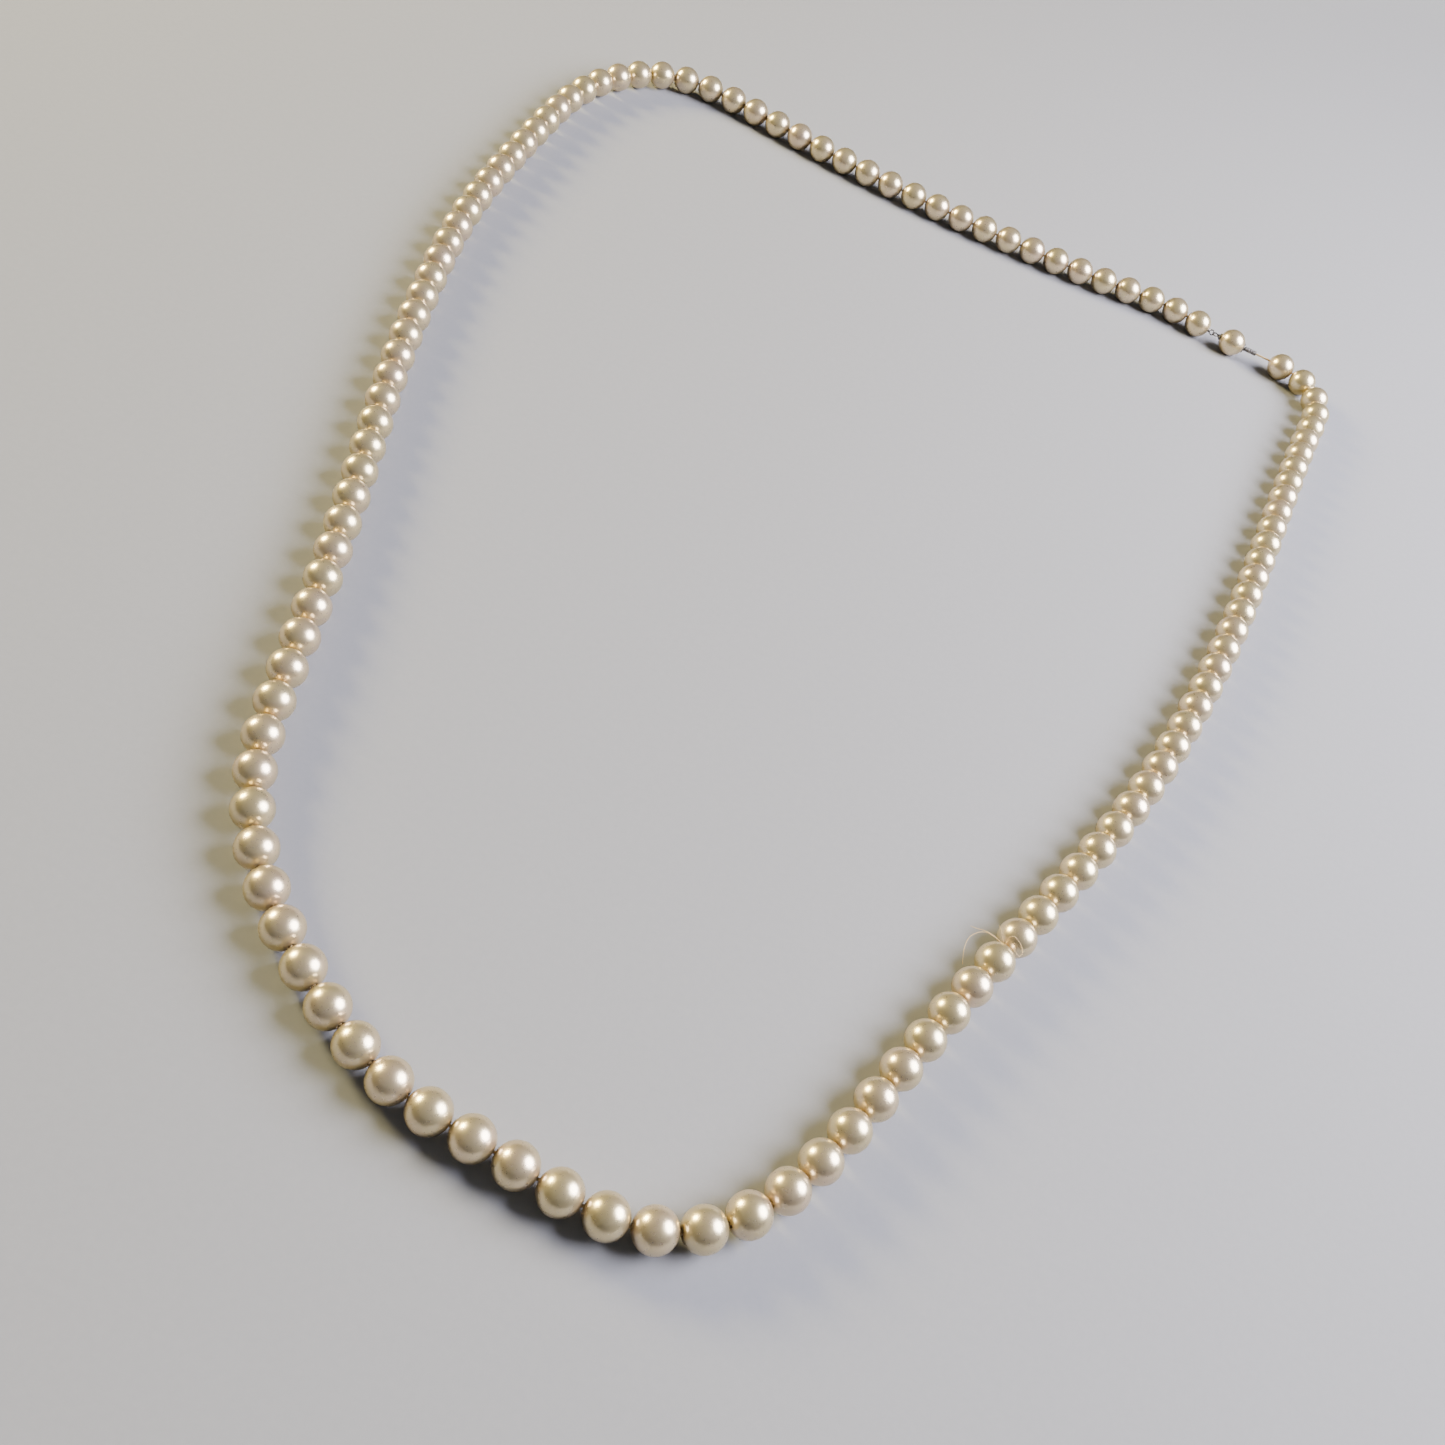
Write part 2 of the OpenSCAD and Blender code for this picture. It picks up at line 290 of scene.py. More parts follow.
@dataclass(frozen=True)
class Nacre:
    """Pearl coating: champagne, satiny, a little cloudy, with painted amber shade and
    bounced light at the drill holes, where neighbouring pearls meet.
    """

    gold: Colour = (0.45, 0.355, 0.15, 1.0)
    cream: Colour = (0.60, 0.49, 0.26, 1.0)
    blush: Colour = (0.64, 0.485, 0.32, 1.0)
    # painted amber shade and bounced light for the drill holes
    amber: Colour = (0.50, 0.35, 0.13, 1.0)
    edge: Colour = (0.86, 0.72, 0.44, 1.0)

    def make(self) -> Material:
        """Builds the material."""
        bench = Bench("nacre")
        clouds = bench.noise(230.0, 3.0)
        mottle = bench.noise(2100.0, 4.0, 0.6)
        tone = bench.stored("tone")
        rim = bench.stored("rim")
        shade = tone + (clouds - 0.5) * 0.9 + (mottle - 0.5) * 0.35
        body = bench.add(
            "ShaderNodeValToRGB",
            {"stops": ((0.0, self.blush), (0.38, self.cream), (1.0, self.gold))},
            {"Fac": shade},
        ).outputs["Color"]
        # Painted light: amber shade and bounced light laid over the body colour near
        # the drill holes, where neighbouring pearls meet.
        painted_amber_share = (rim * (0.6 + 0.5 * mottle)).at_most(1.0)
        body = bench.between(painted_amber_share, body, self.amber)
        peel = bench.noise(4200.0, 3.0, 0.55)
        pits = (1.0 - bench.cells(1100.0) * 8.0).at_least(0.0)
        height = peel * 0.6 + clouds * 0.3 - pits * 0.12 - rim * mottle * 0.4
        return bench.finish(
            {
                "Base Color": body,
                "Roughness": 0.23 + 0.12 * mottle + 0.15 * rim,
                "Metallic": 0.80 - 0.2 * rim,
                "Normal": bench.relief(height, 0.00002, 0.3),
                "Specular Tint": self.edge,
                "Coat Weight": 1.0,
                "Coat Roughness": 0.21,
                "Coat IOR": 1.7,
            }
        )


@dataclass(frozen=True)
class TwistedThread:
    """Aged silk thread, tan, with fine fibres along its plies."""

    dark: Colour = (0.42, 0.26, 0.10, 1.0)
    pale: Colour = (0.70, 0.51, 0.22, 1.0)

    def make(self) -> Material:
        """Builds the material."""
        bench = Bench("twisted_thread")
        fibre = bench.noise(9000.0, 3.0, 0.7)
        dust = bench.noise(700.0, 2.0)
        body = bench.between(fibre * 0.7 + dust * 0.3, self.dark, self.pale)
        return bench.finish(
            {
                "Base Color": body,
                "Roughness": 0.5 + 0.3 * fibre,
                "Normal": bench.relief(fibre, 0.00003, 0.6),
                "Sheen Weight": 0.3,
                "Sheen Roughness": 0.5,
            }
        )


@dataclass(frozen=True)
class DarkenedMetal:
    """Small fittings in darkened metal, rubbed brighter where they are handled."""

    dark: Colour = (0.10, 0.092, 0.082, 1.0)
    rubbed: Colour = (0.40, 0.37, 0.32, 1.0)

    def make(self) -> Material:
        """Builds the material."""
        bench = Bench("darkened_metal")
        tarnish = bench.noise(1500.0, 4.0, 0.6)
        scuffs = bench.noise(12000.0, 2.0)
        rub = ((tarnish - 0.42) * 3.2).at_least(0.0).at_most(1.0)
        return bench.finish(
            {
                "Base Color": bench.between(rub, self.dark, self.rubbed),
                "Metallic": 0.95,
                "Roughness": 0.5 - 0.22 * rub + 0.12 * scuffs,
                "Normal": bench.relief(scuffs, 0.00001, 0.4),
            }
        )


@dataclass(frozen=True)
class PaleFloor:
    """Plain pale paper, faintly mottled, with painted light: it glows where little
    lamplight reaches and is painted darker where a lamp stands close, so that it stays
    evenly pale far from the lamps.
    """

    light: Colour = (0.26, 0.26, 0.26, 1.0)
    shade: Colour = (0.237, 0.237, 0.242, 1.0)
    unlit: Colour = (0.0, 0.0, 0.0, 1.0)
    aglow: Colour = (1.25, 1.25, 1.27, 1.0)

    def make(self) -> Material:
        """Builds the material."""
        bench = Bench("pale_floor")
        pulp = bench.noise(900.0, 4.0, 0.6)
        return bench.finish(
            {
                # painted shade: the base colour is darkened towards black where a lamp
                # stands close, to cancel its pool of light
                "Base Color": bench.between(
                    bench.stored("dim"),
                    bench.between(pulp, self.light, self.shade),
                    self.unlit,
                ),
                # painted light: the sheet glows where little lamplight reaches,
                # standing in for lamplight
                "Emission Color": bench.between(
                    bench.stored("glow"), self.unlit, self.aglow
                ),
                "Emission Strength": 1.0,
                "Specular IOR Level": 0.0,
                "Roughness": 0.85,
                "Normal": bench.relief(pulp, 0.00005, 0.3),
            }
        )


# ---- meshes


@dataclass
class Mesh:
    """Points and faces gathered for one piece, with values stored at points."""

    points: list[Point] = field(default_factory=list)
    faces: list[tuple[int, ...]] = field(default_factory=list)
    values: dict[str, list[float]] = field(default_factory=dict)

    def grid(
        self,
        rows: Sequence[Point],
        closed: bool = False,
        capped: bool = False,
        **values: Sequence[float],
    ) -> None:
        """Adds a skin over rows of points that each go round once.

        Args:
            rows: the rings, each an array of points.
            closed: joins the last ring to the first.
            capped: closes both ends with a flat face.
            **values: one stored value for each ring.
        """
        start = len(self.points)
        around = len(rows[0])
        count = len(rows)
        for ring in rows:
            self.points.extend(ring)
        for name, series in values.items():
            store = self.values.setdefault(name, [0.0] * start)
            store.extend([0.0] * (start - len(store)))
            for value in series:
                store.extend([float(value)] * around)
        for i in range(count if closed else count - 1):
            low = start + i * around
            high = start + ((i + 1) % count) * around
            for j in range(around):
                k = (j + 1) % around
                self.faces.append((low + j, low + k, high + k, high + j))
        if capped:
            self.faces.append(tuple(start + j for j in reversed(range(around))))
            last = start + (count - 1) * around
            self.faces.append(tuple(last + j for j in range(around)))

    def build(self, name: str, material: Material) -> bpy.types.Object:
        """Makes the Blender object.

        Args:
            name: the piece's name.
            material: its finish.

        Returns:
            The object, smooth shaded and linked to the scene.
        """
        data = bpy.data.meshes.new(name)
        data.from_pydata([tuple(p) for p in self.points], [], self.faces)
        for key, series in self.values.items():
            series = series + [0.0] * (len(self.points) - len(series))
            layer = data.attributes.new(key, "FLOAT", "POINT")
            layer.data.foreach_set("value", series)
        data.validate()
        data.polygons.foreach_set("use_smooth", [True] * len(data.polygons))
        data.materials.append(material)
        piece = bpy.data.objects.new(name, data)
        bpy.context.scene.collection.objects.link(piece)
        return piece


@dataclass(frozen=True)
class Axes:
    """A place and three directions: along, side and up."""

    origin: Point
    along: Point
    side: Point
    up: Point

    @staticmethod
    def flat(origin: Point, along: Point) -> "Axes":
        """Axes at a point, with `along` level and `up` vertical."""
        forward = np.array([along[0], along[1], 0.0])
        forward = forward / np.linalg.norm(forward)
        side = np.array([-forward[1], forward[0], 0.0])
        return Axes(np.asarray(origin, float), forward, side, np.array([0.0, 0.0, 1.0]))

    def at(self, x: float, y: float = 0.0, z: float = 0.0) -> Point:
        """The point x along, y sideways and z up from the origin."""
        return self.origin + self.along * x + self.side * y + self.up * z

    def ring(self, x: float, radius: float, count: int, squash: float = 1.0) -> Point:
        """A ring of points round the along direction.

        Args:
            x: its station.
            radius: its radius.
            count: the number of points.
            squash: its height over its width.

        Returns:
            The points.
        """
        turn = np.arange(count) * (2.0 * math.pi / count)
        return (
            self.origin
            + self.along * x
            + np.outer(np.cos(turn) * radius, self.side)
            + np.outer(np.sin(turn) * radius * squash, self.up)
        )


def smooth(spots: Sequence[Point], each: int = 8) -> np.ndarray:
    """Runs a soft curve through some points.

    Args:
        spots: the points that it passes through.
        each: the number of steps between two of them.

    Returns:
        The curve's points.
    """
    given = np.asarray(spots, float)
    ends = np.vstack([2 * given[0] - given[1], given, 2 * given[-1] - given[-2]])
    out = []
    for a, b, c, d in zip(ends[:-3], ends[1:-2], ends[2:-1], ends[3:]):
        for t in np.arange(each) / each:
            out.append(
                0.5
                * (
                    2 * b
                    + (c - a) * t
                    + (2 * a - 5 * b + 4 * c - d) * t**2
                    + (3 * b - a - 3 * c + d) * t**3
                )
            )
    out.append(given[-1])
    return np.array(out)


def sweep(
    mesh: Mesh,
    path: Sequence[Point],
    radius: Sequence[float],
    around: int,
    closed: bool,
) -> None:
    """Adds a round bar along a path.

    Args:
        mesh: what it is added to.
        path: the points of its middle line.
        radius: its radius at each point.
        around: the number of points round it.
        closed: joins the end to the start.
    """
    line = np.asarray(path, float)
    if closed:
        ahead = np.roll(line, -1, 0) - np.roll(line, 1, 0)
    else:
        ahead = np.gradient(line, axis=0)
    ahead /= np.linalg.norm(ahead, axis=1)[:, None]
    side = np.cross(ahead[0], [0.0, 0.0, 1.0])
    if np.linalg.norm(side) < 0.1:
        side = np.cross(ahead[0], [0.0, 1.0, 0.0])
    turn = np.arange(around) * (2.0 * math.pi / around)
    rows = []
    for point, forward, size in zip(line, ahead, radius):
        side = side - forward * (side @ forward)
        side /= np.linalg.norm(side)
        up = np.cross(forward, side)
        rows.append(
            point
            + np.outer(np.cos(turn) * size, side)
            + np.outer(np.sin(turn) * size, up)
        )
    mesh.grid(rows, closed=closed, capped=not closed)


# ---- strand


@dataclass
class StrandLine:
    """The line that the strand lies along, and where each pearl sits on it."""

    pearl_d: float = 6.0
    gap: float = 0.15
    loose_gap: float = 0.35
    loose_from: int = 114
    count: int = 119
    samples: int = 14
    route: tuple[tuple[float, float], ...] = (
        (64, 122), (56, 125), (45, 124), (31, 122), (-13, 122), (-37, 125),
        (-54, 128), (-66, 130), (-76, 129), (-84, 122), (-90, 110), (-92, 97),
        (-92, 82), (-92, 48), (-88, 24), (-82, -4), (-76, -25), (-70, -46),
        (-64, -70), (-60, -90), (-54, -102), (-44, -113), (-30, -122), (-20, -127),
        (-5, -128), (10, -131), (22, -127), (31, -115), (37, -98), (47, -73),
        (62, -40), (71, -12), (79, 24), (85, 64), (90, 96), (93, 108),
        (92, 115), (87, 120), (79, 121), (72, 121),
    )
    knots: np.ndarray = field(init=False)

    def __post_init__(self) -> None:
        """Walks the line once and keeps the points between pearls, in metres."""
        raw = self._walk(self._curve())
        middles = (raw[1:] + raw[:-1]) / 2.0
        centre = (middles.min(0) + middles.max(0)) / 2.0
        flat = (raw - centre) * MM
        height = np.full((len(flat), 1), self.pearl_d / 2.0 * MM)
        self.knots = np.hstack([flat, height])

    def _curve(self) -> np.ndarray:
        """A smooth curve near the route's points, its ends held."""
        spots = np.array(self.route, float)
        last = len(spots) - 1
        out = []
        for i in range(-1, last + 1):
            a, b, c, d = (spots[max(0, min(last, i + k))] for k in (-1, 0, 1, 2))
            for j in range(self.samples):
                t = j / self.samples
                out.append(
                    (
                        (1 - t) ** 3 * a
                        + (3 * t**3 - 6 * t**2 + 4) * b
                        + (-3 * t**3 + 3 * t**2 + 3 * t + 1) * c
                        + t**3 * d
                    )
                    / 6.0
                )
        out.append(spots[-1])
        return np.array(out)

    def _walk(self, curve: np.ndarray) -> np.ndarray:
        """Steps along the curve, one pearl at a time.

        Args:
            curve: the curve's points.

        Returns:
            The points between pearls, in millimetres.
        """
        point, index, out = curve[0], 0, [curve[0]]
        for k in range(self.count):
            step = self.pearl_d + (self.loose_gap if k >= self.loose_from else self.gap)
            j = index + 1
            while np.linalg.norm(curve[j] - point) < step:
                j += 1
            run = curve[j] - curve[j - 1]
            back = curve[j - 1] - point
            qa, qb, qc = run @ run, 2 * run @ back, back @ back - step**2
            share = (-qb + math.sqrt(qb * qb - 4 * qa * qc)) / (2 * qa)
            point, index = curve[j - 1] + run * share, j - 1
            out.append(point)
        return np.array(out)

    def along(self, k: int) -> Point:
        """The direction of pearl k's drill hole."""
        step = self.knots[k + 1] - self.knots[k]
        return step / np.linalg.norm(step)

    def pearl(self, k: int) -> Point:
        """The middle of pearl k."""
        return (self.knots[k] + self.knots[k + 1]) / 2.0


@dataclass(frozen=True)
class Run:
    """One run of pearls that moves as one body."""

    tag: str
    first: int
    last: int

    @property
    def body(self) -> str:
        """The body it rides on."""
        return f"strand_{self.tag}"


@dataclass(frozen=True)
class Layout:
    """How the strand is divided into runs."""

    runs_a_side: int = 11
    in_run: int = 5
    in_end_run: int = 6
    in_middle: int = 7

    def runs(self) -> Iterator[Run]:
        """Gives the middle run, then each half from the middle out."""
        half = self.in_run * (self.runs_a_side - 1) + self.in_end_run
        yield Run("middle", half, half + self.in_middle - 1)
        low, high = half - 1, half + self.in_middle
        for number in range(1, self.runs_a_side + 1):
            size = self.in_run if number < self.runs_a_side else self.in_end_run
            yield Run(f"{Half.LEFT.value}_{number:02d}", low - size + 1, low)
            yield Run(f"{Half.RIGHT.value}_{number:02d}", high, high + size - 1)
            low, high = low - size, high + size

    def inner(self, run: Run) -> str:
        """The body that the run hangs from."""
        half, number = run.tag.split("_")
        if number == "01":
            return "strand_middle"
        return f"strand_{half}_{int(number) - 1:02d}"


@dataclass
class BeadShape:
    """One drilled pearl: nearly round, with a soft lip at each drill hole."""

    radius: float = 3.0 * MM
    bore: float = 0.45 * MM
    lip: float = 0.17 * MM
    halo: float = 0.95 * MM
    around: int = 52
    rings: int = 18
    unevenness: float = 0.003
    waviness: float = 1.6
    swell: float = 0.12
    tones: tuple[float, float] = (0.17, 0.37)
    hole: tuple[tuple[float, float, float], ...] = (
        (0.72, 0.006, 0.8),
        (0.45, 0.022, 1.0),
        (0.18, 0.060, 1.0),
        (0.04, 0.120, 1.0),
        (0.0, 0.220, 1.0),
    )

    def profile(self) -> tuple[np.ndarray, np.ndarray]:
        """Half of the bead's outline, from its equator into the drill hole.

        Returns:
            Stations and radii as rows, and how much of the lip each holds.
        """
        edge = math.asin((self.bore + self.lip) / self.radius)
        turn = np.linspace(math.pi / 2, edge, self.rings)
        outer = [(self.radius * math.cos(a), self.radius * math.sin(a)) for a in turn]
        reach = [r for _, r in outer]
        # rim weight rises towards the drill hole; it places the painted amber shade and
        # bounced light there and makes the nacre rougher and less metallic
        rim = [max(0.0, 1.0 - (r - self.bore) / self.halo) ** 2 for r in reach]
        top = self.radius * math.cos(edge)
        for share, sink, weight in self.hole:
            rise = self.lip * (1 - share) * self.swell
            outer.append((top + rise - sink * MM, self.bore + self.lip * share))
            rim.append(weight)
        return np.array(outer), np.array(rim)

    def add(self, mesh: Mesh, axes: Axes, seed: int, size: float = 1.0) -> None:
        """Adds one bead.

        Args:
            mesh: what it is added to.
            axes: its middle and its drill hole's direction.
            seed: picks its own slight unevenness and tone.
            size: its size over the full size.
        """
        chance = np.random.default_rng(seed)
        half, weights = self.profile()
        back = half[::-1] * np.array([-1.0, 1.0])
        outline = np.vstack([back, half[1:]])
        rim = np.concatenate([weights[::-1], weights[1:]])
        wave = chance.normal(0.0, 1.0, (3, 3))
        phase = chance.uniform(0.0, 2.0 * math.pi, 3)
        rows = []
        for x, r in outline:
            ring = axes.ring(x, r, self.around)
            way = (ring - axes.origin) / self.radius
            bump = np.sin(way @ wave.T * self.waviness + phase).sum(1) / 3.0
            scale = size * (1.0 - self.unevenness * (0.5 + 0.5 * bump))
            rows.append(axes.origin + (ring - axes.origin) * scale[:, None])
        tone = chance.uniform(*self.tones)
        mesh.grid(rows, closed=True, rim=rim, tone=[tone] * len(rows))


def stray(piece: bpy.types.Object, node: str) -> float:
    """How far a piece's box is from its node's box.

    Args:
        piece: the piece.
        node: the node that it stands for.

    Returns:
        The largest difference of a side, in millimetres.
    """
    spots = np.array([tuple(v.co) for v in piece.data.vertices])
    mine = np.array([spots.min(0), spots.max(0)])
    return float(np.abs(mine - np.array(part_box(node))).max() / MM)


@dataclass
class Pearls:
    """All the runs of pearls on the strand."""

    line: StrandLine
    layout: Layout
    shape: BeadShape = field(default_factory=BeadShape)
    smallest: float = 0.995
    size_seed: int = 900
    bead_seed: int = 100

    def build(self, finish: Material) -> None:
        """Builds one piece for each run.

        Args:
            finish: the pearls' material.
        """
        for run in self.layout.runs():
            mesh = Mesh()
            for k in range(run.first, run.last + 1):
                chance = np.random.default_rng(self.size_seed + k)
                size = chance.uniform(self.smallest, 1.0)
                axes = Axes.flat(self.line.pearl(k), self.line.along(k))
                self.shape.add(mesh, axes, self.bead_seed + k, float(size))
            piece = mesh.build(f"beads_{run.tag}", finish)
            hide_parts(f"pearls_{run.tag}")
            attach(piece, run.body)
            count = run.last - run.first + 1
            off = stray(piece, f"pearls_{run.tag}")
            LOG.info("%s: %d pearls, %.3f mm off", piece.name, count, off)


@dataclass(frozen=True)
class Fray:
    """Loose fibres of the thread that stand out between two pearls."""

    knot: int = 86
    radius: float = 0.065 * MM
    wraps: int = 3
    spots_a_wrap: int = 20
    coil_start: float = 0.32
    coil_growth: float = 0.42
    coil_wobble: float = 0.05 * MM
    tip: float = 0.55
    around: int = 6
    fibres: tuple[tuple[tuple[float, float, float], ...], ...] = (
        (
            (0.0, 0.3, 0.1), (-0.3, 1.2, 0.8), (-0.6, 2.4, 1.2),
            (-0.9, 3.8, 1.2), (-1.6, 5.2, 1.0), (-1.9, 6.0, 0.9),
        ),
        (
            (0.0, 0.3, 0.15), (-0.4, 1.4, 1.0), (-0.8, 2.9, 1.3),
            (-1.1, 3.8, 1.2), (-2.1, 4.6, 1.1), (-3.6, 5.0, 0.8),
            (-5.1, 4.5, 0.2), (-6.2, 3.6, -0.6), (-6.5, 3.1, -1.2),
        ),
        ((0.0, 0.5, 0.3), (-0.2, 1.4, 1.6), (0.0, 2.2, 2.4), (0.4, 3.0, 2.6)),
        (
            (0.0, 0.4, 0.6), (0.1, 0.8, 1.5), (0.5, 0.8, 2.2), (0.9, 0.3, 2.4),
            (0.9, -1.0, 2.1), (0.3, -2.0, 1.7), (-0.7, -1.9, 1.7),
            (-0.8, -0.9, 2.2), (-0.2, -0.3, 1.3),
        ),
    )

    def add(self, mesh: Mesh, line: StrandLine) -> None:
        """Adds the fibres to the thread's mesh.

        Args:
            mesh: the thread's mesh.
            line: the strand's line.
        """
        axes = Axes.flat(line.knots[self.knot], line.along(self.knot))
        paths = [[axes.at(*(v * MM for v in spot)) for spot in f] for f in self.fibres]
        count = self.spots_a_wrap * self.wraps
        turns = np.linspace(0.0, 2.0 * math.pi * self.wraps, count)
        coil = []
        for turn in turns:
            share = turn / turns[-1]
            reach = (self.coil_start + self.coil_growth * share) * MM
            coil.append(
                axes.at(
                    self.coil_wobble * math.sin(5.0 * turn),
                    math.cos(turn) * reach,
                    math.sin(turn) * reach,
                )
            )
        paths = [smooth(path) for path in paths] + [np.array(coil)]
        for path in paths:
            count = len(path)
            taper = np.linspace(1.0, self.tip, count) * self.radius
            sweep(mesh, path, taper, self.around, closed=False)


@dataclass
class Thread:
    """The twisted thread, one length inside each run and one over each bend."""

    line: StrandLine
    layout: Layout
    radius: float = 0.25 * MM
    plies: int = 3
    turn_length: float = 1.3 * MM
    step: float = 0.14 * MM
    over_bend: float = 0.8 * MM
    bend_zone: float = 0.3 * MM
    ply_share: float = 0.52
    tuck: float = 0.2 * MM
    fray: Fray = Fray()

    def twist(self, mesh: Mesh, path: Sequence[Point], around: int = 6) -> None:
        """Adds a twisted thread along a path.

        Args:
            mesh: what it is added to.
            path: the corners of its middle line.
            around: the number of points round each ply.
        """
        corners = np.asarray(path, float)
        pieces = np.linalg.norm(np.diff(corners, axis=0), axis=1)
        reach = np.concatenate([[0.0], np.cumsum(pieces)])
        count = max(6, int(reach[-1] / self.step))
        spots = np.linspace(0.0, reach[-1], count)
        middle = np.stack([np.interp(spots, reach, corners[:, i]) for i in range(3)], 1)
        ahead = np.gradient(middle, axis=0)
        ahead /= np.linalg.norm(ahead, axis=1)[:, None]
        side = np.cross([0.0, 0.0, 1.0], ahead)
        side /= np.linalg.norm(side, axis=1)[:, None]
        up = np.cross(ahead, side)
        ply = self.radius * self.ply_share
        off = self.radius - ply
        for number in range(self.plies):
            turn = spots / self.turn_length * 2 * math.pi
            turn = turn + number * 2 * math.pi / self.plies
            line = middle + off * (
                np.cos(turn)[:, None] * side + np.sin(turn)[:, None] * up
            )
            sweep(mesh, line, [ply] * count, around, closed=False)

    def _ends(self, run: Run) -> tuple[Point, Point]:
        """Where the thread inside a run starts and stops, short of the bends."""
        line = self.line
        first = line.knots[run.first] + line.along(run.first) * self.over_bend
        last = line.knots[run.last + 1] - line.along(run.last) * self.over_bend
        return first, last

    def build(self, finish: Material, bare_tip: Point) -> None:
        """Builds every length of thread.

        Args:
            finish: the thread's material.
            bare_tip: where the bare end beside the clasp stops.
        """
        knots = self.line.knots
        for run in self.layout.runs():
            first, last = self._ends(run)
            inner = [knots[k] for k in range(run.first + 1, run.last + 1)]
            if run.first == 0:
                first = knots[0] + self.line.along(0) * self.tuck
            if run.last == self.line.count - 1:
                inner.append(knots[-1])
                last = bare_tip
            mesh = Mesh()
            self.twist(mesh, [first, *inner, last])
            if run.first < self.fray.knot <= run.last:
                self.fray.add(mesh, self.line)
            piece = mesh.build(f"cord_{run.tag}", finish)
            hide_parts(f"thread_{run.tag}")
            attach(piece, run.body)
            if run.tag != "middle":
                self._bend(run, finish)

    def _bend(self, run: Run, finish: Material) -> None:
        """Builds the short, bent length of thread over the knot between two runs."""
        line = self.line
        if run.tag.startswith(Half.LEFT.value):
            knot = run.last + 1
            out, back = -line.along(run.last), line.along(knot)
        else:
            knot = run.first
            out, back = line.along(knot), -line.along(knot - 1)
        spot = line.knots[knot]
        path = [spot + back * self.over_bend, spot, spot + out * self.over_bend]
        mesh = Mesh()
        self.twist(mesh, path)
        piece = mesh.build(f"bend_{run.tag}", finish)
        self.layout.inner(run)
        tuple(spot + back * self.bend_zone)
        tuple(spot + out * self.bend_zone)
        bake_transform(piece)
        LOG.info("%s bends at knot %d", piece.name, knot)


# ---- clasp


